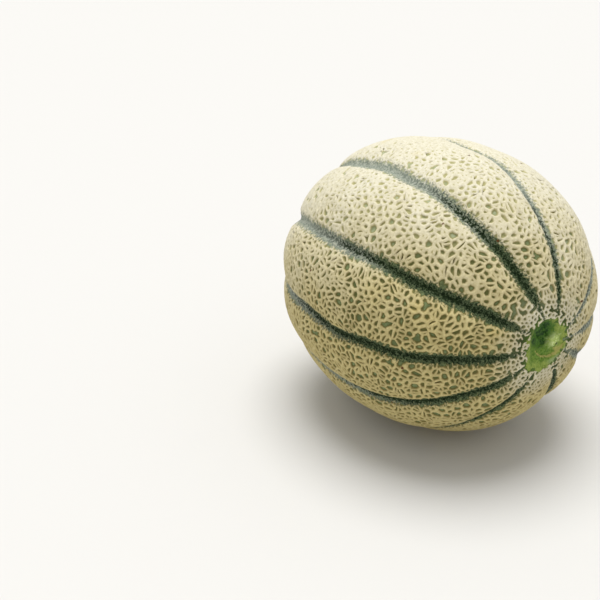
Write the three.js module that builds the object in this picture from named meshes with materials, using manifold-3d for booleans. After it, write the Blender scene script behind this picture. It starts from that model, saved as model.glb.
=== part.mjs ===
// A netted cantaloupe melon lying on its side, in millimetres, +Z up.
// The stem end points along +X. The origin is under the middle of the melon, on the surface it rests on.
// The fruit grew as one piece, so it is one closed solid: ten ribs between ten sutures, a dished stem scar
// with the stub of the stem standing in it, a small button at the blossom end, and a flat ground spot.

import * as THREE from 'three';
import { mergeVertices } from 'three/addons/utils/BufferGeometryUtils.js';
import Module from 'manifold-3d';

// Overall form: an oval of revolution about X, a little blunter than an ellipsoid.
const melonLength = 163;
const melonDiameter = 146;
const ovalPower = 0.913; // 1 is a true ellipsoid, less fills out the shoulders

// Sutures, as angles round the long axis in degrees, from straight up towards -Y.
const sutureAngles = [-10.7, 24.1, 59.5, 91.9, 116.6, 149.3, 200.4, 237.8, 267.0, 298.1];
const sutureHalfWidth = 4.6; // from the middle of a suture to the foot of its side
const sutureDepth = 1.9;
const ribDrop = 1.4; // how far a rib falls from its crown to its edge
const sutureFadeStart = 9; // distance from the axis where the sutures begin
const sutureFadeEnd = 34; // and where they have their full width and depth

// Stem end.
const stemScarRadius = 12;
const stemScarFloorRadius = 8.4;
const stemScarDepth = 1.8;
const stemStubRadius = 4.2;
const stemStubTopRadius = 1.9;
const stemStubHeight = 2.6; // above the floor of the scar

// Blossom end.
const blossomDishRadius = 11;
const blossomDishFloorRadius = 4.4;
const blossomDishDepth = 1.2;
const blossomButtonRadius = 3.6;
const blossomButtonTopRadius = 1.8;
const blossomButtonHeight = 0.9; // above the floor of the dish

const groundSpotRadius = 15; // half the width of the flat spot, across the melon

// Mesh fineness.
const columnSpacing = 7; // degrees, across the crown of a rib
const ringsAlongBody = 27;
const ringsAcrossScar = 4; // on the stub, and again on the floor round it
const ringsAcrossBlossom = 2;
const mergeTolerance = 0.001;

const rindColour = '#cfc69c';
const rindRoughness = 0.78;

const halfLength = melonLength / 2;
const radius = melonDiameter / 2;
const { degToRad, radToDeg, smoothstep } = THREE.MathUtils;

// The point of the plain oval at a polar angle, as its distance along and from the long axis.
function ovalPoint(polar) {
  const along = Math.cos(polar);
  return {
    along: halfLength * Math.sign(along) * Math.pow(Math.abs(along), ovalPower),
    out: radius * Math.pow(Math.max(Math.sin(polar), 0), ovalPower),
  };
}

// The polar angle where the oval is so far from the axis, on the stem half.
function polarAt(out) {
  return Math.asin(Math.pow(out / radius, 1 / ovalPower));
}

// How far the skin lies under the oval because of the ribs and the sutures between them.
function sutureDrop(angle, out) {
  const count = sutureAngles.length;
  const strength = smoothstep(out, sutureFadeStart, sutureFadeEnd);
  for (let i = 0; i < count; i += 1) {
    const start = sutureAngles[i];
    const end = i + 1 < count ? sutureAngles[i + 1] : sutureAngles[0] + 360;
    if (angle < start || angle > end) continue;
    const across = (2 * (angle - start)) / (end - start) - 1;
    const degrees = Math.min(angle - start, end - angle);
    const distance = degToRad(degrees) * out;
    const groove = 1 - smoothstep(distance, 0, sutureHalfWidth);
    return strength * (ribDrop * across * across + sutureDepth * groove);
  }
  return 0;
}

// How far the skin lies under the oval at the two scars.
function scarDrop(along, out) {
  if (along > 0) {
    const dish = 1 - smoothstep(out, stemScarFloorRadius, stemScarRadius);
    const stub = 1 - smoothstep(out, stemStubTopRadius, stemStubRadius);
    return stemScarDepth * dish - stemStubHeight * stub;
  }
  const dish = 1 - smoothstep(out, blossomDishFloorRadius, blossomDishRadius);
  const button = 1 - smoothstep(out, blossomButtonTopRadius, blossomButtonRadius);
  return blossomDishDepth * dish - blossomButtonHeight * button;
}

// The angles of the mesh columns: each rib has columns at its sutures, at their feet and evenly between.
function columnAngles() {
  const footAngle = radToDeg(sutureHalfWidth / radius);
  const angles = [];
  sutureAngles.forEach((start, i) => {
    const end = i + 1 < sutureAngles.length ? sutureAngles[i + 1] : sutureAngles[0] + 360;
    const crown = end - start - 2 * footAngle;
    const steps = Math.round(crown / columnSpacing);
    angles.push(start, start + footAngle / 2);
    for (let step = 0; step <= steps; step += 1) {
      angles.push(start + footAngle + (crown * step) / steps);
    }
    angles.push(end - footAngle / 2);
  });
  angles.push(sutureAngles[0] + 360);
  return angles;
}

// The polar angles of the mesh rings, from the stem end to the blossom end.
function ringAngles() {
  const rings = [0];
  for (let i = 1; i <= ringsAcrossScar; i += 1) {
    rings.push(polarAt((stemStubRadius * i) / ringsAcrossScar));
  }
  for (let i = 1; i <= ringsAcrossScar; i += 1) {
    rings.push(polarAt(stemStubRadius + ((stemScarRadius - stemStubRadius) * i) / ringsAcrossScar));
  }
  const bodyStart = polarAt(stemScarRadius);
  const bodyEnd = Math.PI - polarAt(blossomDishRadius);
  for (let i = 1; i <= ringsAlongBody; i += 1) {
    rings.push(bodyStart + ((bodyEnd - bodyStart) * i) / ringsAlongBody);
  }
  for (let i = 1; i <= ringsAcrossBlossom; i += 1) {
    const out = blossomDishRadius + ((blossomButtonRadius - blossomDishRadius) * i) / ringsAcrossBlossom;
    rings.push(Math.PI - polarAt(out));
  }
  for (let i = 1; i < ringsAcrossBlossom; i += 1) {
    rings.push(Math.PI - polarAt(blossomButtonRadius * (1 - i / ringsAcrossBlossom)));
  }
  rings.push(Math.PI);
  return rings;
}

// A unit sphere whose columns and rings are moved onto the melon's skin.
function melonSkin() {
  const columns = columnAngles();
  const rings = ringAngles();
  const columnSteps = columns.length - 1;
  const ringSteps = rings.length - 1;
  const skin = new THREE.SphereGeometry(1, columnSteps, ringSteps);
  const point = new THREE.Vector3();
  for (let index = 0; index < skin.attributes.position.count; index += 1) {
    const column = index % columns.length;
    const ring = Math.floor(index / columns.length);
    const angle = columns[column];
    const { along, out } = ovalPoint(rings[ring]);
    const turn = degToRad(angle);
    point.set(along, -Math.sin(turn) * out, Math.cos(turn) * out);
    const drop = sutureDrop(angle, out) + scarDrop(along, out);
    point.setLength(point.length() - drop);
    skin.attributes.position.setXYZ(index, point.x, point.y, point.z);
  }
  skin.deleteAttribute('normal');
  skin.deleteAttribute('uv');
  return mergeVertices(skin, mergeTolerance);
}

const wasm = await Module();
wasm.setup();

function toSolid(geometry) {
  const mesh = new wasm.Mesh({
    numProp: 3,
    vertProperties: new Float32Array(geometry.attributes.position.array),
    triVerts: new Uint32Array(geometry.index.array),
  });
  return new wasm.Manifold(mesh);
}

function toGeometry(solid) {
  const mesh = solid.getMesh();
  const geometry = new THREE.BufferGeometry();
  geometry.setAttribute('position', new THREE.BufferAttribute(mesh.vertProperties, 3));
  geometry.setIndex(new THREE.BufferAttribute(mesh.triVerts, 1));
  return geometry;
}

// The height, from the long axis, of the cut that makes the ground spot as wide as stated.
function groundLevel() {
  return -Math.sqrt(radius * radius - groundSpotRadius * groundSpotRadius);
}

// A block whose top is the surface that the melon rests on.
function groundBlock(level) {
  const block = new THREE.BoxGeometry(melonLength, melonDiameter, melonDiameter);
  block.translate(0, 0, level - melonDiameter / 2);
  block.deleteAttribute('normal');
  block.deleteAttribute('uv');
  return mergeVertices(block, mergeTolerance);
}

function melonGeometry() {
  const level = groundLevel();
  const rested = toGeometry(toSolid(melonSkin()).subtract(toSolid(groundBlock(level))));
  rested.computeBoundingBox();
  const middle = rested.boundingBox.getCenter(new THREE.Vector3());
  rested.translate(-middle.x, -middle.y, -level);
  rested.computeVertexNormals();
  return rested;
}

const rind = new THREE.MeshStandardMaterial({ color: rindColour, roughness: rindRoughness, metalness: 0 });
const melon = new THREE.Mesh(melonGeometry(), rind);
melon.name = 'melon';

const cantaloupe = new THREE.Group();
cantaloupe.add(melon);

export default cantaloupe;
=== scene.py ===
import math
import random
from bisect import bisect_right

import bmesh
import bpy
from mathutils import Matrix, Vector, noise


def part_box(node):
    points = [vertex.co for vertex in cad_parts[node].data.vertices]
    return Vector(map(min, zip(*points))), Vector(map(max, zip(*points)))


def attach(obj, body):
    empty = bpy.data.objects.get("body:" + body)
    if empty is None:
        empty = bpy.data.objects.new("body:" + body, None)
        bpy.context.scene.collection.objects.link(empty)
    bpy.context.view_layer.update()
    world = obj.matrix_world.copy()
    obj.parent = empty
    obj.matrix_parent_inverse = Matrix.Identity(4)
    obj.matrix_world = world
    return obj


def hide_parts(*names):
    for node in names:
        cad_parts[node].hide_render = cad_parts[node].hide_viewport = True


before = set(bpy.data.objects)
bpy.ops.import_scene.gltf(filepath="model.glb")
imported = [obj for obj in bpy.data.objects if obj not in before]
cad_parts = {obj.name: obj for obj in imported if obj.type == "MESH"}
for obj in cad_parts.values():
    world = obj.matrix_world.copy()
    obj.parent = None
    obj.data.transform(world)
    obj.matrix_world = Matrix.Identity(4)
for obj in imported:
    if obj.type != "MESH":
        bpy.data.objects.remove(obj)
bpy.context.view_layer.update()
mm = 0.001
goldenAngle = math.pi * (3 - math.sqrt(5))
farOff = 99    # distance in mm that keeps the other end of the fruit out of a colour

# the fruit's overall form, as the solid that it stands for
form = {
    "length": 163 * mm,
    "diameter": 146 * mm,
    "ovalPower": 0.913,          # 1 is an ellipsoid, less fills out the shoulders
    "spotRadius": 15 * mm,       # flat spot that the melon lies on
    "ribDrop": 2.1 * mm,         # from a rib's crown to its edge
    "unevenness": 0.5 * mm,
    "unevenScale": 3.1,
    "groundPatch": 9 * mm,       # height that the pale patch underneath fades out over
}

# sutures: angle round the long axis from straight up towards -Y, and width against the usual one
sutures = {
    "angles": (-10.7, 24.1, 59.5, 91.9, 118.6, 149.3, 200.4, 237.8, 267.0, 298.1),
    "leans": (0, 0, 0, 1, 3, 0, 0, 0, 0, 0),  # degrees that each turns by the time it reaches the stem end
    "widths": (0.75, 1.1, 1.1, 1.0, 1.0, 0.85, 0.9, 1.0, 0.85, 0.65),
    "depths": (0.85, 1.0, 1.0, 1.0, 0.9, 0.8, 0.75, 0.5, 0.4, 0.4),
    "bloom": (0.45, 0.15, 0.1, 0.2, 0.5, 0.6, 0.6, 1.2, 1.2, 1.0),  # how much paler than the darkest
    "halfWidth": 4.6 * mm,       # middle of the groove to the foot of its side
    "depth": 1.9 * mm,
    "bareHalfWidth": 1.9 * mm,   # strip that the net leaves free
    "endWidth": 0.45,            # width where the grooves begin, against the middle of the fruit
    "widening": (10 * mm, 40 * mm),  # distances from the long axis that they widen between
    "fadeStart": 11 * mm,        # distance from the long axis where the grooves begin
    "fadeEnd": 40 * mm,          # at the blossom end, where they are full depth
    "stemFadeEnd": 54 * mm,      # the same at the stem end
    "wander": 1.2,               # degrees
    "rows": (0.95 * mm, 2.75 * mm),  # rows of small cells on each side
    "rowSpacing": (2.3 * mm, 1.9 * mm),
    "rowScatter": (0.15 * mm, 0.42 * mm),
    "rowEnds": (0.21, 0.2),      # radians that the rows keep from the stem end and the blossom end
    "rowSteps": (0.8, 1.2),      # least and most of the spacing from one cell to the next
    "plainInside": 14 * mm,      # nearer the long axis than this, the plain net crosses the sutures
    "margin": 1.38,              # the plain net stays this many times the outer row away
    "fineReach": 4 * mm,         # small cells may stand this close to the middle
    "bloomBase": 0.1,
    "bloomAlong": 0.7,           # how much paler towards the blossom end
    "paintedWallLight": 0.2,          # and paler with painted light on a wall that faces up
    "wall": (0.5 * mm, 2 * mm),  # distances from the middle that it comes in between
    "bareNearScar": (15 * mm, 25 * mm),  # where the free strip opens, from the scar's middle
}

# cork net over the ribs, thicker on the side that faced the sun, and paler there with painted light
net = {
    "seed": 11,
    "cracks": 6300,              # first cells, before the large ones crack again
    "scatter": 0.4,              # against the spacing of the cells
    "cellArea": 12 * mm * mm,    # a cell larger than about this cracks in two
    "cellScatter": (0.75, 1.9),  # least and most of that area
    "sideWeights": (0.4, 1),     # random weights on the sides' lengths; the crack starts at the longest
    "splitPlace": (0.3, 0.7),    # where along the sides it may start and end
    "fineArea": 9 * mm * mm,     # a cell smaller than this has cords of a simpler section
    "shortest": 1.05 * mm,       # cords shorter than this close up to one crossing
    "shortestFine": 0.35 * mm,   # the same in the sutures and round the stem scar
    "thin": 0.78 * mm,           # half width of a cord in the shade, then in the sun
    "thick": 1.3 * mm,
    "closeness": (0.72, 0.88, 1.0, 1.15, 1.35),  # cord width in one cell against another
    "fill": 0.92,                # cords that take up more of a cell's room than this leave only a crease
    "creaseRise": 0.35,          # height in the middle of a crease, against the cord's
    "creaseCord": -0.25,         # mm outside the cord, for its colour
    "corkyShare": 0.6,           # a cell has cords if more than this share of its corners are crossings
    "leastMitre": 0.4,           # keeps the insets of sharp corners short
    "deepest": 0.7,              # share of the way to its cell's middle that a corner may move
    "rounding": 0.28,            # of the holes' corners, done twice over
    "shoulder": 0.5,             # where the rounded top turns down, as a share of the half width
    "shoulderRise": 0.88,        # height there, against the cord's
    "footCord": -0.3,            # mm outside the cord, for the colour at its foot
    "bareCord": -1.5,            # the same for skin that has no cords
    "wideHole": 2.5 * mm * mm,   # a hole larger than this is paler in the middle
    "height": 0.95 * mm,
    "leastHalfWidth": 0.3 * mm,
    "swelling": 0.35,            # how far cords swell and thin over a patch of the net
    "swellScale": 120,           # patches for each metre
    "widthScatter": 0.12,        # between one crossing and the next
    "scarThinning": 0.15,        # how much thinner cords are beside the stem scar
    "scarThin": (18 * mm, 34 * mm),  # distances from its middle that this fades out between
    "sutureThinning": 0.25,      # and beside a suture
    "sutureThin": (2 * mm, 5.5 * mm),
    "sutureRise": 0.45,          # their height there, against the usual one
    "bareScatter": 0.5 * mm,
    "loose": 0.008,              # share of crossings left open, with dead-end cords
    "scarLoose": 0.16,           # more of them beside the stem scar
    "looseReach": (14 * mm, 26 * mm),
    # side with the thicker cords, where the colours get painted light; away from it they get painted shade
    "sunSide": Vector((-0.38, 0.35, 0.85)).normalized(),
    "sunFade": (-0.55, 0.75),    # cosine to that side, where the shade ends and full sun begins
    "sunPatches": 0.2,
    "sunPatchScale": 5,
}

# scar that the stem left round its stub, near the end of the long axis; places are in Y and Z
stemScar = {
    "radius": 12.2 * mm,
    "centre": (-3.6 * mm, 0.2 * mm),
    "lobing": 0.06,              # how far its three lobes stand out, against the radius
    "lobeTurn": 0.2,
    "raggedness": 0.12,
    "edgeWander": 1.4 * mm,      # of the nearest cords, in and out of its edge
    "edgeScatter": 0.3 * mm,
    "edgeScale": 260,            # bends for each metre
    "reach": 25 * mm,            # from the long axis, wide enough for all of it
    "depth": 1.5 * mm,
    "floorRadius": 6.71 * mm,
    "seedSpacing": 1.05 * mm,
    "frillRadii": [r * mm for r in (12.9, 14.7, 16.6, 18.6, 20.7, 22.9, 25.2)],
    "frillSpacing": 2.2 * mm,
    "frillShift": (0, 0.7),      # how far round a small cell stands, against the spacing
    "frillScatter": 0.35 * mm,
    "stub": (2.0 * mm, 1.0 * mm),
    "stubRadius": 5.2 * mm,
    "stubTopRadius": 1.2 * mm,
    "stubHeight": 1.9 * mm,
    "rays": 0.45,                # unevenness of the stub's foot
    "pit": (3.4 * mm, -1.0 * mm),
    "pitRadius": 1.3 * mm,
    "pitDepth": 0.9 * mm,
    "hollow": (-5.2 * mm, 6.0 * mm),
    "hollowRadius": 10.2 * mm,
    "hollowDepth": 1.3 * mm,
    "tearCentre": (0, 2.0 * mm),
    "tearRadius": 9.2 * mm,
    "tearHalfWidth": 0.45 * mm,
    "tearEnds": (3 * mm, 5.5 * mm),  # it opens this far under its centre
    "tearDepth": 0.8 * mm,
    "lipHeight": 0.7 * mm,
    "lipOut": 1.6,               # from the tear's line to the lip's crest, in widths of the tear
    "tan": (4.4 * mm, -4.0 * mm),    # patch of the tear's colour
    "tanRadius": 2.0 * mm,
    "tanStrength": 0.8,
    "roughness": 0.45 * mm,
    "fibreScales": (700, 1500),  # coarse and fine fibres for each metre
    "fineFibres": 0.6,           # height of the fine ones against the coarse
}

# small corky button where the flower fell, at the other end of the long axis
blossomEnd = {
    "radius": 4.2 * mm,
    "seedSpacing": 1.1 * mm,
    "dishRadius": 11 * mm,
    "dishFloorRadius": 3.3 * mm,
    "dishDepth": 1.2 * mm,
    "buttonRadius": 3.6 * mm,
    "buttonTopRadius": 1.8 * mm,
    "buttonHeight": 0.9 * mm,
    "sutureStart": 4 * mm,       # sutures fade in between these distances from the button's middle
    "sutureEnd": 11 * mm,
    "sutureLoss": 5,             # mm that the dark strip of a suture loses on each side
}

low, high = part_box("melon")
radius = form["diameter"] / 2
halfLength = form["length"] / 2
centre = Vector((
    (low[0] + high[0]) / 2,
    (low[1] + high[1]) / 2,
    low[2] + math.sqrt(radius ** 2 - form["spotRadius"] ** 2),
))
rng = random.Random(net["seed"])


def smooth(lowEnd, highEnd, value):
    share = min(max((value - lowEnd) / (highEnd - lowEnd), 0), 1)
    return share * share * (3 - 2 * share)


def ovalRadius(d):
    power = 2 / form["ovalPower"]
    along = abs(d.x) / halfLength
    out = math.hypot(d.y, d.z) / radius
    return (along ** power + out ** power) ** (-1 / power)


def sutureAt(d, out):
    # the nearest suture, how far past it a point lies, and how far across its rib
    angles = [angle + lean * d.x for angle, lean in zip(sutures["angles"], sutures["leans"])]
    angle = math.degrees(math.atan2(-d.y, d.z))
    angle += sutures["wander"] * noise.noise((3 * d.x, 2 * d.y, 2 * d.z))
    while angle < angles[0]:
        angle += 360
    while angle >= angles[0] + 360:
        angle -= 360
    i = bisect_right(angles, angle) - 1
    j = (i + 1) % len(angles)
    start = angles[i]
    end = angles[j] if j else angles[0] + 360
    across = 2 * (angle - start) / (end - start) - 1
    nearest = i if across < 0 else j
    degrees = angle - start if across < 0 else angle - end
    return nearest, math.radians(degrees) * out, across


def sutureWidth(out):
    # the sutures narrow towards both ends of the fruit
    return sutures["endWidth"] + (1 - sutures["endWidth"]) * smooth(*sutures["widening"], out)


def scarDistance(point):
    # distance from the middle of the stem scar, for points on the stem half
    if point.x < 0:
        return 1.0
    y, z = stemScar["centre"]
    angle = math.atan2(point.z - z, point.y - y)
    lobes = 1 - stemScar["lobing"] * math.cos(3 * angle + stemScar["lobeTurn"])
    lobes += stemScar["raggedness"] * noise.noise((160 * point.y, 160 * point.z, 4.0))
    return math.hypot(point.y - y, point.z - z) * lobes


def tearAt(y, z):
    # how far a point lies outside the torn line under the stub, and how open the tear is there
    middleY, middleZ = stemScar["tearCentre"]
    past = math.hypot(y - middleY, z - middleZ) - stemScar["tearRadius"]
    return past, smooth(*stemScar["tearEnds"], middleZ - z)


def tanShare(y, z):
    middleY, middleZ = stemScar["tan"]
    beside = math.hypot(y - middleY, z - middleZ) / stemScar["tanRadius"]
    return stemScar["tanStrength"] * math.exp(-beside ** 2)


def hollowAt(y, z):
    middleY, middleZ = stemScar["hollow"]
    return 1 - smooth(0, stemScar["hollowRadius"], math.hypot(y - middleY, z - middleZ))


def stubDistance(y, z):
    # distance from the middle of the stub, whose foot runs out in short uneven rays
    y -= stemScar["stub"][0]
    z -= stemScar["stub"][1]
    angle = math.atan2(z, y)
    rays = 1 + stemScar["rays"] * noise.noise((2.4 * math.cos(angle), 2.4 * math.sin(angle), 7.0))
    return math.hypot(y, z) * rays


def pitDistance(y, z):
    return math.hypot(y - stemScar["pit"][0], z - stemScar["pit"][1])


def scarHeight(point):
    # height of the stem scar over the plain end of the fruit
    y, z = point.y, point.z
    dish = 1 - smooth(stemScar["floorRadius"], stemScar["radius"], scarDistance(point))
    stub = stubDistance(y, z)
    height = -stemScar["depth"] * dish - stemScar["hollowDepth"] * hollowAt(y, z)
    height += stemScar["stubHeight"] * (1 - smooth(stemScar["stubTopRadius"], stemScar["stubRadius"], stub))
    height -= stemScar["pitDepth"] * (1 - smooth(0, stemScar["pitRadius"], pitDistance(y, z)))
    past, opening = tearAt(y, z)
    past /= stemScar["tearHalfWidth"]
    height -= stemScar["tearDepth"] * opening * math.exp(-past ** 2)
    height += stemScar["lipHeight"] * opening * math.exp(-(past / 2 - stemScar["lipOut"]) ** 2)
    coarse, fine = [noise.noise(point * scale) for scale in stemScar["fibreScales"]]
    fibres = coarse + stemScar["fineFibres"] * fine
    return height + stemScar["roughness"] * dish * fibres


def blossomHeight(out):
    # height of the blossom end over the plain end of the fruit
    dish = 1 - smooth(blossomEnd["dishFloorRadius"], blossomEnd["dishRadius"], out)
    button = 1 - smooth(blossomEnd["buttonTopRadius"], blossomEnd["buttonRadius"], out)
    return blossomEnd["buttonHeight"] * button - blossomEnd["dishDepth"] * dish


def skinPoint(d):
    # the skin under the net, in the direction d from the melon's middle
    reach = ovalRadius(d)
    out = reach * math.hypot(d.y, d.z)
    nearest, offset, across = sutureAt(d, out)
    distance = abs(offset) / sutures["widths"][nearest] / sutureWidth(out)
    strength = smooth(sutures["fadeStart"], sutures["stemFadeEnd" if d.x > 0 else "fadeEnd"], out)
    groove = 1 - smooth(0, sutures["halfWidth"], distance)
    drop = form["ribDrop"] * across ** 2 + sutures["depth"] * groove
    drop *= strength * sutures["depths"][nearest]
    drop += form["unevenness"] * noise.noise(d * form["unevenScale"])
    drop += net["height"] * (1 - groove * strength)
    if d.x > 0 and out < stemScar["reach"]:
        drop -= scarHeight(d * reach)
    if d.x < 0:
        drop -= blossomHeight(out)
    return d * (reach - drop), distance


def bloomAndLightShare(d, point):
    # how pale a suture is: waxy bloom, more at the blossom end, with painted light added on the lit side of
    # the fruit and on walls that face up
    nearest, offset, _ = sutureAt(d, point.length * math.hypot(d.y, d.z))
    facing = math.copysign(1, offset) * math.sin(math.radians(sutures["angles"][nearest]))
    facing *= smooth(*sutures["wall"], abs(offset))
    along = sutures["bloomBase"] - sutures["bloomAlong"] * d.x
    return litSideShare(d) + sutures["bloom"][nearest] + along + sutures["paintedWallLight"] * facing


def litSideShare(d):
    # 0 on the shaded side of the fruit, 1 on the side that faced the sun; it sets the cords' width, and mixes
    # painted shade and painted light into the colours
    patches = net["sunPatches"] * noise.noise(d * net["sunPatchScale"])
    return smooth(*net["sunFade"], d.dot(net["sunSide"]) + patches)


def clearOfDetail(d):
    # whether the plain net may start a crack here, away from sutures, stem scar and blossom end
    reach = ovalRadius(d)
    out = reach * math.hypot(d.y, d.z)
    nearest, offset, _ = sutureAt(d, out)
    half = sutures["margin"] * sutures["rows"][1] * sutures["widths"][nearest] * sutureWidth(out)
    if abs(offset) < half and out > sutures["plainInside"]:
        return False
    if scarDistance(d * reach) < stemScar["frillRadii"][-1] + 0.5 * stemScar["frillSpacing"]:
        return False
    return d.x > 0 or out > blossomEnd["radius"] + 0.5 * blossomEnd["seedSpacing"]


def netCracks():
    # evenly spread points
    count = net["cracks"]
    spacing = math.sqrt(4 * math.pi / count)
    places = []
    for i in range(count):
        x = 1 - (2 * i + 1) / count
        out = math.sqrt(1 - x * x)
        d = Vector((x, out * math.cos(i * goldenAngle), out * math.sin(i * goldenAngle)))
        d += Vector([rng.gauss(0, net["scatter"] * spacing) for axis in range(3)])
        if clearOfDetail(d.normalized()):
            places.append(d.normalized())
    return places


def besideSuture(i, turn, offset):
    # direction of a point offset past suture i, turned from the stem end by the angle turn
    out = ovalRadius(Vector((math.cos(turn), 0, math.sin(turn)))) * math.sin(turn)
    offset *= sutures["widths"][i] * sutureWidth(out)
    angle = math.radians(sutures["angles"][i] + sutures["leans"][i] * math.cos(turn)) + offset / out
    wander = 0
    for tries in range(2):
        around = angle - wander
        d = Vector((
            math.cos(turn),
            -math.sin(turn) * math.sin(around),
            math.sin(turn) * math.cos(around),
        ))
        wander = math.radians(sutures["wander"] * noise.noise((3 * d.x, 2 * d.y, 2 * d.z)))
    return d


def sutureCracks():
    # rows of small cells along the floor and the edges of each suture
    places = []
    for i in range(len(sutures["angles"])):
        for row, spacing, scatter in zip(sutures["rows"], sutures["rowSpacing"], sutures["rowScatter"]):
            for side in (-1, 1):
                turn = sutures["rowEnds"][0]
                while turn < math.pi - sutures["rowEnds"][1]:
                    offset = side * row + rng.gauss(0, scatter)
                    d = besideSuture(i, turn, offset)
                    if scarDistance(d * ovalRadius(d)) > stemScar["frillRadii"][-1] + 0.5 * mm:
                        places.append(d)
                    turn += spacing * rng.uniform(*sutures["rowSteps"]) / radius
    return places


def sunflower(spacing, reach):
    # points spread evenly over a disc; 0.56 of the spacing gives each its share of the area
    places = []
    k = 0
    while True:
        out = 0.56 * spacing * math.sqrt(k + 0.5)
        if out > reach:
            return places
        angle = k * goldenAngle
        places.append((out * math.cos(angle), out * math.sin(angle)))
        k += 1


def endDirection(y, z, side):
    # direction of the point of the oval that stands over y, z at one end of the long axis
    power = 2 / form["ovalPower"]
    out = math.hypot(y, z) / radius
    return Vector((side * halfLength * (1 - out ** power) ** (1 / power), y, z)).normalized()


def endCracks():
    # close cells over the stem scar and the blossom end, with rings of small ones round the scar
    middleY, middleZ = stemScar["centre"]
    places = []
    for y, z in sunflower(stemScar["seedSpacing"], stemScar["radius"] - 0.3 * mm):
        places.append(endDirection(y + middleY, z + middleZ, 1))
    for ring in stemScar["frillRadii"]:
        count = round(2 * math.pi * ring / stemScar["frillSpacing"])
        for k in range(count):
            angle = 2 * math.pi * (k + rng.uniform(*stemScar["frillShift"])) / count
            out = ring + rng.gauss(0, stemScar["frillScatter"])
            places.append(endDirection(middleY + out * math.cos(angle), middleZ + out * math.sin(angle), 1))
    for y, z in sunflower(blossomEnd["seedSpacing"], blossomEnd["radius"]):
        places.append(endDirection(y, z, -1))
    return places


def crackIntoCells():
    bm = bmesh.new()
    for d in netCracks() + sutureCracks() + endCracks():
        bm.verts.new(d)
    bmesh.ops.convex_hull(bm, input=bm.verts[:])
    bmesh.ops.delete(bm, geom=[v for v in bm.verts if not v.link_faces], context="VERTS")
    seeds = bm.verts[:]
    spokes = bm.edges[:]
    bmesh.ops.poke(bm, faces=bm.faces[:])
    bmesh.ops.rotate_edges(bm, edges=spokes)
    bmesh.ops.dissolve_verts(bm, verts=seeds)
    coarse, fine = [], []
    for v in bm.verts:
        v.co, distance = skinPoint(v.co.normalized())
        isFine = distance < sutures["fineReach"] or scarDistance(v.co) < stemScar["frillRadii"][-1]
        (fine if isFine else coarse).append(v)
    bmesh.ops.remove_doubles(bm, verts=coarse, dist=net["shortest"])
    bmesh.ops.remove_doubles(bm, verts=[v for v in fine if v.is_valid], dist=net["shortestFine"])
    bm.normal_update()
    return bm


def splitCell(bm, face):
    # cracks a cell across, from one side to one about opposite
    sides = face.edges[:]
    lengths = [e.calc_length() for e in sides]
    i = max(range(len(sides)), key=lambda k: lengths[k] * rng.uniform(*net["sideWeights"]))
    j = (i + len(sides) // 2 + rng.choice((0, 0, 1))) % len(sides)
    if i == j or len(sides) < 4:
        return None
    first = bmesh.utils.edge_split(sides[i], sides[i].verts[0], rng.uniform(*net["splitPlace"]))[1]
    second = bmesh.utils.edge_split(sides[j], sides[j].verts[0], rng.uniform(*net["splitPlace"]))[1]
    made = bmesh.utils.face_split(face, first, second)
    return made[0] if made else None


def crackLargeCells(bm):
    waiting = bm.faces[:]
    while waiting:
        face = waiting.pop()
        if face.calc_area() > net["cellArea"] * rng.uniform(*net["cellScatter"]):
            other = splitCell(bm, face)
            if other:
                waiting += [face, other]


def insetCorners(face, width):
    # the face's corners moved inwards by each corner's own width
    corners = [v.co.copy() for v in face.verts]
    middle = face.calc_center_median()
    normal = face.normal
    count = len(corners)
    moved = []
    for k in range(count):
        here = corners[k]
        before = normal.cross(here - corners[k - 1]).normalized()
        after = normal.cross(corners[(k + 1) % count] - here).normalized()
        mitre = (before + after) / max(1 + before.dot(after), net["leastMitre"])
        step = mitre * width[k]
        limit = net["deepest"] * (middle - here).length
        if step.length > limit:
            step = (middle - here).normalized() * limit
        moved.append(here + step)
    return moved


def rounded(corners, share):
    count = len(corners)
    return [
        corners[k].lerp((corners[k - 1] + corners[(k + 1) % count]) / 2, share)
        for k in range(count)
    ]


def sutureShare(point):
    # the sutures fade out before they meet at the blossom end
    if point.x > 0:
        return 1
    return smooth(blossomEnd["sutureStart"], blossomEnd["sutureEnd"], math.hypot(point.y, point.z))


def cordHalfWidth(v, distance):
    share = litSideShare(v.co.normalized())
    half = net["thin"] * (1 - share) + net["thick"] * share
    swell = net["swelling"] * noise.noise(v.co * net["swellScale"])
    half *= 1 + swell + rng.gauss(0, net["widthScatter"])
    half *= 1 - net["scarThinning"] * (1 - smooth(*net["scarThin"], scarDistance(v.co)))
    half *= 1 - net["sutureThinning"] * (1 - smooth(*net["sutureThin"], distance))
    return max(half, net["leastHalfWidth"])


def isCorky(v, distance):
    # whether cords cross here
    fromScar = scarDistance(v.co)
    fray = stemScar["edgeWander"] * noise.noise(v.co * stemScar["edgeScale"])
    fray += rng.gauss(0, stemScar["edgeScatter"])
    if fromScar < stemScar["radius"] + fray:
        return False
    loose = net["loose"] + net["scarLoose"] * (1 - smooth(*net["looseReach"], fromScar))
    if rng.random() < loose:
        return False
    bare = sutures["bareHalfWidth"] * smooth(*sutures["bareNearScar"], fromScar) * sutureShare(v.co)
    return distance > bare + rng.gauss(0, net["bareScatter"])


def isNetted(face, corky):
    # whether enough of a cell's corners are crossings for it to have cords
    return sum(v[corky] for v in face.verts) > net["corkyShare"] * len(face.verts)


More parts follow.
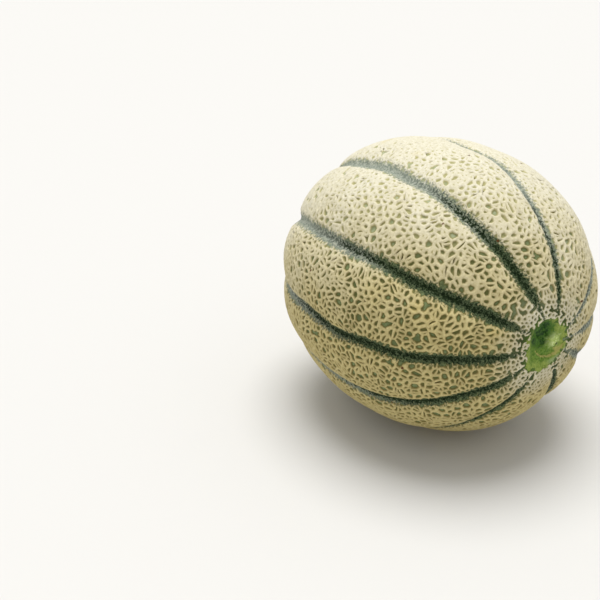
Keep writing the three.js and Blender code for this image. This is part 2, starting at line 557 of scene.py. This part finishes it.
def raiseCords(bm, corky, cord, rise):
    # gives each cell of the net a ring where its cords turn down and one where they meet the skin
    netted = [f for f in bm.faces if isNetted(f, corky)]
    cells = []
    creases = []
    widths = {}
    tops = {}
    feet = {}
    for f in netted:
        share = rng.choice(net["closeness"])
        width = [v[cord] * mm * share for v in f.verts]
        room = 2 * f.calc_area() / f.calc_perimeter()
        if sum(width) / len(width) > net["fill"] * room:
            creases.append(f)
            continue
        cells.append(f)
        widths[f] = width
        tops[f] = insetCorners(f, [w * net["shoulder"] for w in widths[f]])
        corners = insetCorners(f, widths[f])
        for tries in range(2):
            corners = rounded(corners, net["rounding"])
        feet[f] = corners
    stout = [f for f in cells if f.calc_area() > net["fineArea"]]
    for ring, places, height in ((stout, tops, net["shoulderRise"]), (cells, feet, 0.0)):
        bmesh.ops.inset_individual(bm, faces=ring, thickness=0)
        for f in ring:
            for v, spot, w in zip(f.verts, places[f], widths[f]):
                v.co = spot
                v[rise] = height
                v[cord] = w / mm * (1 - net["shoulder"]) if height else net["footCord"]
    wide = [f for f in cells if f.calc_area() > net["wideHole"]]
    reaches = [min((v.co - f.calc_center_median()).length for v in f.verts) / mm for f in wide]
    for v, reach in zip(bmesh.ops.poke(bm, faces=wide)["verts"], reaches):
        v[cord] = net["footCord"] - reach
        v[rise] = 0.0
        v[corky] = 1.0
    for v in bmesh.ops.poke(bm, faces=creases)["verts"]:
        v[cord] = net["creaseCord"]
        v[rise] = net["creaseRise"]
        v[corky] = 1.0


# how the colours change round the stem scar, by distance from its middle
nearScar = {
    "sutureLoss": 2,             # mm that the dark strip of a suture loses on each side
    "sutureFade": (13 * mm, 26 * mm),
    # painted light added to the cork and skin round the scar
    "extraPaintedLight": 0.8,
    "sunFade": (14 * mm, 32 * mm),
}


def markSkin(v, marks, point, distance):
    # values that the colours are mixed from; lengths are in mm
    d = v.co.normalized()
    fromScar = scarDistance(point)
    past, opening = tearAt(point.y, point.z)
    loss = nearScar["sutureLoss"] * (1 - smooth(*nearScar["sutureFade"], fromScar))
    loss += blossomEnd["sutureLoss"] * (1 - sutureShare(point))
    v[marks["groove"]] = distance / mm + loss
    # bloom: waxy bloom with painted light added on the lit side and on walls that face up
    v[marks["bloom"]] = bloomAndLightShare(d, point)
    # sun: share of painted light against painted shade, raised round the stem scar
    v[marks["sun"]] = litSideShare(d) + nearScar["extraPaintedLight"] * (1 - smooth(*nearScar["sunFade"], fromScar))
    v[marks["scar"]] = fromScar / mm
    v[marks["stub"]] = stubDistance(point.y, point.z) / mm if d.x > 0 else farOff
    v[marks["pit"]] = pitDistance(point.y, point.z) / mm if d.x > 0 else farOff
    v[marks["blossom"]] = math.hypot(point.y, point.z) / mm if d.x < 0 else farOff
    v[marks["hollow"]] = hollowAt(point.y, point.z)
    v[marks["tear"]] = opening * math.exp(-(past / stemScar["tearHalfWidth"]) ** 2)
    v[marks["tear"]] += tanShare(point.y, point.z) if d.x > 0 else 0
    v[marks["lip"]] = opening * smooth(0.3 * mm, 1.5 * mm, past) * smooth(-5 * mm, 4 * mm, point.y)


def liftCords(bm, corky, cord, rise):
    # moves the flat net out to its height over the skin
    names = ("groove", "bloom", "sun", "scar", "stub", "pit", "blossom", "hollow", "tear", "lip", "ground")
    marks = {name: bm.verts.layers.float.new(name) for name in names}
    for v in bm.verts:
        d = v.co.normalized()
        point, distance = skinPoint(d)
        markSkin(v, marks, point, distance)
        clear = smooth(sutures["bareHalfWidth"], 3 * sutures["bareHalfWidth"], distance)
        lift = net["height"] * v[rise] * v[corky]
        lift *= net["sutureRise"] + (1 - net["sutureRise"]) * clear
        v.co = point + d * lift
        v[cord] = v[cord] * v[corky] + net["bareCord"] * (1 - v[corky])
        v[marks["ground"]] = 1 - smooth(0, form["groundPatch"], v.co.z + centre.z - low[2])


def buildMelon():
    bm = crackIntoCells()
    crackLargeCells(bm)
    print("cells", len(bm.faces))
    corky = bm.verts.layers.float.new("corky")    # 1 where cords meet, 0 where the skin is bare
    cord = bm.verts.layers.float.new("cord")      # mm inside the edge of a cord, or outside it if less than 0
    rise = bm.verts.layers.float.new("rise")      # height as a share of the cord's
    for v in bm.verts:
        v.co, distance = skinPoint(v.co.normalized())
        v[corky] = 1.0 if isCorky(v, distance) else 0.0
        v[rise] = 1.0
        v[cord] = cordHalfWidth(v, distance) / mm
    bm.normal_update()
    scarCells = [f for f in bm.faces if not isNetted(f, corky) and
                 scarDistance(f.calc_center_median()) < stemScar["radius"]]
    raiseCords(bm, corky, cord, rise)
    bmesh.ops.poke(bm, faces=scarCells)
    print("faces", len(bm.faces))
    liftCords(bm, corky, cord, rise)
    bmesh.ops.translate(bm, verts=bm.verts, vec=centre)
    for v in bm.verts:
        v.co.z = max(v.co.z, low[2])
    bmesh.ops.triangulate(bm, faces=bm.faces[:])
    mesh = bpy.data.meshes.new("melonRind")
    bm.to_mesh(mesh)
    bm.free()
    mesh.shade_smooth()
    print("triangles", len(mesh.polygons))
    rind = bpy.data.objects.new("melon_rind", mesh)
    bpy.context.collection.objects.link(rind)
    return rind


# linear colours; a pair is mottled, or fades, from the first to the second
paint = {
    # cork as a painted-lit copy, then a painted-shade copy, for the side facing the light and the side away
    # from it
    "paintedLitCork": ((0.68, 0.64, 0.48), (0.78, 0.745, 0.61)),
    "paintedShadeCork": ((0.5, 0.42, 0.18), (0.6, 0.51, 0.24)),
    "paintedShadeFlank": ((0.28, 0.21, 0.07), (0.54, 0.5, 0.27)),        # sides of the cords, darker with painted shade, as a painted-shade copy and a painted-lit copy
    "stain": (0.62, 0.5, 0.16),
    # skin as a painted-shade copy, then a paler, greyer copy that is partly waxy bloom and partly painted
    # light
    "paintedShadeSkin": ((0.12, 0.15, 0.055), (0.22, 0.27, 0.12)),
    "paintedLitBloomSkin": ((0.33, 0.36, 0.19), (0.48, 0.51, 0.35)),
    "foot": ((0.12, 0.13, 0.037), (0.42, 0.4, 0.19)),        # skin at the foot of a cord, browner; the copy for the shaded side is also darker there with painted shade
    "nearScar": ((0.08, 0.15, 0.02), (0.045, 0.065, 0.015)),
    "bloom": ((0.2, 0.23, 0.19), (0.4, 0.43, 0.36)),         # sutures, from the palest to the darkest
    "dusk": ((0.024, 0.045, 0.018), (0.1, 0.13, 0.07)),
    "moss": ((0.004, 0.01, 0.003), (0.02, 0.036, 0.012)),
    "ground": (0.66, 0.53, 0.2),
    "button": ((0.5, 0.39, 0.22), (0.2, 0.16, 0.07)),
    "speck": (0.12, 0.05, 0.015),
    "leaf": ((0.07, 0.16, 0.015), (0.17, 0.28, 0.04)),       # floor of the stem scar
    "rim": ((0.19, 0.27, 0.04), (0.33, 0.4, 0.09)),
    # painted shade for the hollow of the stem scar
    "hollow": ((0.01, 0.045, 0.004), (0.06, 0.15, 0.015)),
    "lip": (0.27, 0.36, 0.17),
    "tear": (0.42, 0.4, 0.12),
    # pale green of the stub; its palest end is partly a painted highlight
    "stub": ((0.34, 0.46, 0.1), (0.68, 0.77, 0.36)),
    # painted shade for the pit in the stub
    "pit": (0.04, 0.07, 0.008),
}


class Brush:
    # adds nodes to one material, and keeps the noises that its colours share
    def __init__(self, tree):
        self.tree = tree
        self.coords = tree.nodes.new("ShaderNodeTexCoord")
        self.grain = self.noise(1500, 2)
        self.fine = self.noise(900)
        self.medium = self.noise(260)
        self.broad = self.noise(28)
        self.mottle = self.span(self.fine, 0.35, 0.65)

    def put(self, value, socket):
        if isinstance(value, tuple):
            socket.default_value = (*value, 1)
        elif isinstance(value, (int, float)):
            socket.default_value = value
        else:
            self.tree.links.new(value, socket)

    def attribute(self, name):
        made = self.tree.nodes.new("ShaderNodeAttribute")
        made.attribute_name = name
        return made.outputs["Fac"]

    def noise(self, scale, detail=3):
        made = self.tree.nodes.new("ShaderNodeTexNoise")
        made.inputs["Scale"].default_value = scale
        made.inputs["Detail"].default_value = detail
        made.inputs["Roughness"].default_value = 0.6
        self.tree.links.new(self.coords.outputs["Object"], made.inputs["Vector"])
        return made.outputs["Fac"]

    def calc(self, operation, *values):
        made = self.tree.nodes.new("ShaderNodeMath")
        made.operation = operation
        for value, socket in zip(values, made.inputs):
            self.put(value, socket)
        return made.outputs[0]

    def add(self, a, b):
        return self.calc("ADD", a, b)

    def wobble(self, texture, amount):
        return self.calc("MULTIPLY", self.calc("SUBTRACT", texture, 0.5), amount)

    def span(self, value, fromLow, fromHigh, toHigh=1.0):
        made = self.tree.nodes.new("ShaderNodeMapRange")
        made.interpolation_type = "SMOOTHSTEP"
        self.put(value, made.inputs["Value"])
        self.put(fromLow, made.inputs["From Min"])
        self.put(fromHigh, made.inputs["From Max"])
        self.put(toHigh, made.inputs["To Max"])
        return made.outputs["Result"]

    def mix(self, factor, a, b):
        made = self.tree.nodes.new("ShaderNodeMix")
        made.data_type = "RGBA"
        self.put(factor, made.inputs["Factor"])
        colours = [socket for socket in made.inputs if socket.type == "RGBA"]
        self.put(a, colours[0])
        self.put(b, colours[1])
        return [socket for socket in made.outputs if socket.type == "RGBA"][0]


def corkColour(brush, cord, sun):
    # painted shade and painted light: the shaded and lit copies of the cork, mixed by the sun share, with
    # painted shade on the sides of the cords
    shade = brush.mix(brush.mottle, *paint["paintedShadeCork"])
    cork = brush.mix(sun, shade, brush.mix(brush.mottle, *paint["paintedLitCork"]))
    cork = brush.mix(brush.span(cord, -0.15, 0.5), brush.mix(sun, *paint["paintedShadeFlank"]), cork)
    return brush.mix(brush.span(brush.noise(45, 2), 0.64, 0.76, 0.3), cork, paint["stain"])


def skinColour(brush, cord, sun):
    # skin in the holes of the net, as a painted-shade copy and a paler copy that is partly waxy bloom and
    # partly painted light: browner at the foot of a cord, and darker there with painted shade on the shaded
    # side; green near the stem scar
    patches = brush.span(brush.medium, 0.35, 0.7)
    lit = brush.span(brush.add(sun, brush.wobble(brush.broad, 0.5)), 0.2, 1.0)
    skin = brush.mix(lit, brush.mix(patches, *paint["paintedShadeSkin"]), brush.mix(patches, *paint["paintedLitBloomSkin"]))
    inside = brush.span(brush.add(cord, brush.wobble(brush.medium, 0.5)), -0.8, -0.35)
    skin = brush.mix(inside, skin, brush.mix(lit, *paint["foot"]))
    skin = brush.mix(brush.span(brush.attribute("scar"), 14, 32), paint["nearScar"][1], skin)
    return brush.mix(brush.span(brush.attribute("scar"), 12, 16), paint["nearScar"][0], skin)


def sutureColour(brush, across):
    # mossy in the middle of a suture and dusky at its edges, or both pale with bloom and painted light
    bloom = brush.mix(brush.mottle, *paint["bloom"])
    specks = brush.span(brush.grain, 0.35, 0.65)
    # waxy bloom with painted light added on the lit side and on walls that face up
    paleness = brush.attribute("bloom")
    edge = brush.mix(brush.span(paleness, 0.15, 0.95), brush.mix(specks, *paint["dusk"]), bloom)
    middle = brush.mix(brush.span(paleness, 0.5, 1.25), brush.mix(specks, *paint["moss"]), bloom)
    return brush.mix(brush.span(across, 0.3, 1.9), middle, edge)


def endColour(brush, colour):
    # the pale patch underneath, the button at the blossom end, and a few brown specks
    ground = brush.add(brush.attribute("ground"), brush.wobble(brush.broad, 0.6))
    colour = brush.mix(brush.span(ground, 0.1, 0.9, 0.75), colour, paint["ground"])
    blossom = brush.add(brush.attribute("blossom"), brush.wobble(brush.fine, 1.2))
    button = brush.mix(brush.span(blossom, 2.2, 3.6), *paint["button"])
    colour = brush.mix(brush.span(blossom, 4.0, 5.0), button, colour)
    specks = brush.tree.nodes.new("ShaderNodeTexVoronoi")
    specks.inputs["Scale"].default_value = 60
    brush.tree.links.new(brush.coords.outputs["Object"], specks.inputs["Vector"])
    return brush.mix(brush.span(specks.outputs["Distance"], 0.035, 0.055), paint["speck"], colour)


def scarColour(brush, colour):
    # greens of the stem scar: a hollow darkened with painted shade, a pale stub whose palest green is partly
    # a painted highlight, a torn tan line with a greyer lip, a yellower rim, and a pit darkened with painted
    # shade
    edge = brush.add(brush.attribute("scar"), brush.wobble(brush.span(brush.medium, 0.35, 0.65), 2.4))
    rim = brush.mix(brush.span(brush.fine, 0.3, 0.7), *paint["rim"])
    green = brush.mix(brush.span(edge, 6.5, 11.5), brush.mix(brush.mottle, *paint["leaf"]), rim)
    # painted shade: dark clumps where the hollow lies
    hollow = brush.add(brush.attribute("hollow"), brush.wobble(brush.mottle, 0.25))
    clumps = brush.span(brush.add(brush.fine, brush.wobble(brush.medium, 1.0)), 0.35, 0.65)
    green = brush.mix(brush.span(hollow, 0.05, 0.4), green, brush.mix(clumps, *paint["hollow"]))
    green = brush.mix(brush.span(brush.attribute("lip"), 0.2, 1.0, 0.7), green, paint["lip"])
    tear = brush.add(brush.attribute("tear"), brush.wobble(brush.fine, 0.9))
    green = brush.mix(brush.span(tear, 0.25, 0.8), green, paint["tear"])
    fuzz = brush.add(brush.wobble(brush.fine, 2.0), brush.wobble(brush.medium, 2.0))
    stub = brush.span(brush.add(brush.attribute("stub"), fuzz), 1.0, 5.4)
    # the stub's pale green, its palest mottle partly a painted highlight
    green = brush.mix(stub, brush.mix(brush.mottle, *paint["stub"]), green)
    # painted shade in the pit
    green = brush.mix(brush.span(brush.attribute("pit"), 0.5, 1.5), paint["pit"], green)
    return brush.mix(brush.span(edge, 11.7, 12.5), green, colour)


def rindMaterial():
    material = bpy.data.materials.new("rind")
    material.use_nodes = True
    tree = material.node_tree
    tree.nodes.clear()
    output = tree.nodes.new("ShaderNodeOutputMaterial")
    shader = tree.nodes.new("ShaderNodeBsdfPrincipled")
    shader.inputs["Roughness"].default_value = 0.62
    tree.links.new(shader.outputs[0], output.inputs[0])
    brush = Brush(tree)
    cord = brush.attribute("cord")
    # share of painted light against painted shade, for the cork and the skin
    sun = brush.attribute("sun")
    fuzz = brush.add(brush.wobble(brush.fine, 0.7), brush.wobble(brush.medium, 0.4))
    onCord = brush.span(brush.add(cord, fuzz), -0.4, 0.15)
    colour = brush.mix(onCord, skinColour(brush, cord, sun), corkColour(brush, cord, sun))
    coarse = brush.wobble(brush.mottle, 1.8)
    speckle = brush.add(coarse, brush.wobble(brush.span(brush.grain, 0.35, 0.65), 0.7))
    across = brush.add(brush.attribute("groove"), speckle)
    onRib = brush.span(across, 1.4, 4.2)
    colour = brush.mix(onRib, sutureColour(brush, across), colour)
    colour = scarColour(brush, endColour(brush, colour))
    tree.links.new(colour, shader.inputs["Base Color"])
    tree.links.new(brush.calc("MULTIPLY_ADD", onRib, 0.15, 0.05), shader.inputs["Specular IOR Level"])
    bump = tree.nodes.new("ShaderNodeBump")
    bump.inputs["Strength"].default_value = 0.6
    bump.inputs["Distance"].default_value = 0.3 * mm
    tree.links.new(brush.add(brush.fine, brush.medium), bump.inputs["Height"])
    tree.links.new(bump.outputs[0], shader.inputs["Normal"])
    return material


stage = {
    "halfSize": 4,
    "colour": (0.7, 0.695, 0.68, 1),
    "roughness": 0.9,
}


def buildStage():
    bm = bmesh.new()
    bmesh.ops.create_grid(bm, x_segments=1, y_segments=1, size=stage["halfSize"])
    bmesh.ops.translate(bm, verts=bm.verts, vec=(0, 0, low[2]))
    mesh = bpy.data.meshes.new("floor")
    bm.to_mesh(mesh)
    bm.free()
    floor = bpy.data.objects.new("floor", mesh)
    bpy.context.collection.objects.link(floor)
    coat = bpy.data.materials.new("floorPaint")
    coat.use_nodes = True
    shader = coat.node_tree.nodes["Principled BSDF"]
    shader.inputs["Base Color"].default_value = stage["colour"]
    shader.inputs["Roughness"].default_value = stage["roughness"]
    mesh.materials.append(coat)


light = {
    "strength": 2.45,
    "softness": 40,              # degrees across
    "colour": (1, 0.99, 0.97),
    "from": (-0.12, 0.05, 1),
    "horizon": (0.6, 0.585, 0.55, 1),
    "sky": (0.62, 0.62, 0.62, 1),
    "skyStart": 0.9,             # height where the sky's colour is reached, as a share of straight up
}


def buildLights():
    # a wide soft light overhead, in even surroundings that are a little warmer at the horizon
    world = bpy.data.worlds.new("studio")
    world.use_nodes = True
    tree = world.node_tree
    background = tree.nodes["Background"]
    background.inputs["Strength"].default_value = 1.0
    coords = tree.nodes.new("ShaderNodeTexCoord")
    axes = tree.nodes.new("ShaderNodeSeparateXYZ")
    ramp = tree.nodes.new("ShaderNodeValToRGB")
    ramp.color_ramp.elements[0].position = 0.0
    ramp.color_ramp.elements[0].color = light["horizon"]
    ramp.color_ramp.elements[1].position = light["skyStart"]
    ramp.color_ramp.elements[1].color = light["sky"]
    tree.links.new(coords.outputs["Generated"], axes.inputs[0])
    tree.links.new(axes.outputs["Z"], ramp.inputs["Fac"])
    tree.links.new(ramp.outputs["Color"], background.inputs["Color"])
    bpy.context.scene.world = world
    lamp = bpy.data.lights.new("overhead", "SUN")
    lamp.energy = light["strength"]
    lamp.angle = math.radians(light["softness"])
    lamp.color = light["colour"]
    sun = bpy.data.objects.new("overhead", lamp)
    sun.rotation_euler = Vector(light["from"]).to_track_quat("Z", "Y").to_euler()
    bpy.context.collection.objects.link(sun)


view = {
    "azimuth": 55.7,
    "elevation": 26.1,
    "distance": 512 * mm,        # camera to the melon's middle, along the view
    "aside": 68.6 * mm,          # the melon stands this far right of the middle of the picture
    "above": 9.6 * mm,
    "lens": 60,
    "sensor": 36,
}


def buildCamera():
    lens = bpy.data.cameras.new("camera")
    lens.lens = view["lens"]
    lens.sensor_width = view["sensor"]
    camera = bpy.data.objects.new("camera", lens)
    azimuth = math.radians(view["azimuth"])
    elevation = math.radians(view["elevation"])
    back = Vector((
        math.sin(azimuth) * math.cos(elevation),
        -math.cos(azimuth) * math.cos(elevation),
        math.sin(elevation),
    ))
    right = Vector((math.cos(azimuth), math.sin(azimuth), 0))
    up = back.cross(right)
    camera.location = centre + back * view["distance"] - right * view["aside"] - up * view["above"]
    camera.rotation_euler = back.to_track_quat("Z", "Y").to_euler()
    bpy.context.collection.objects.link(camera)
    bpy.context.scene.camera = camera
    bpy.context.scene.view_settings.view_transform = "Standard"


buildCamera()
buildStage()
buildLights()
print("camera, floor and lights")
rind = buildMelon()
rind.data.materials.append(rindMaterial())
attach(rind, "root")
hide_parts("melon")
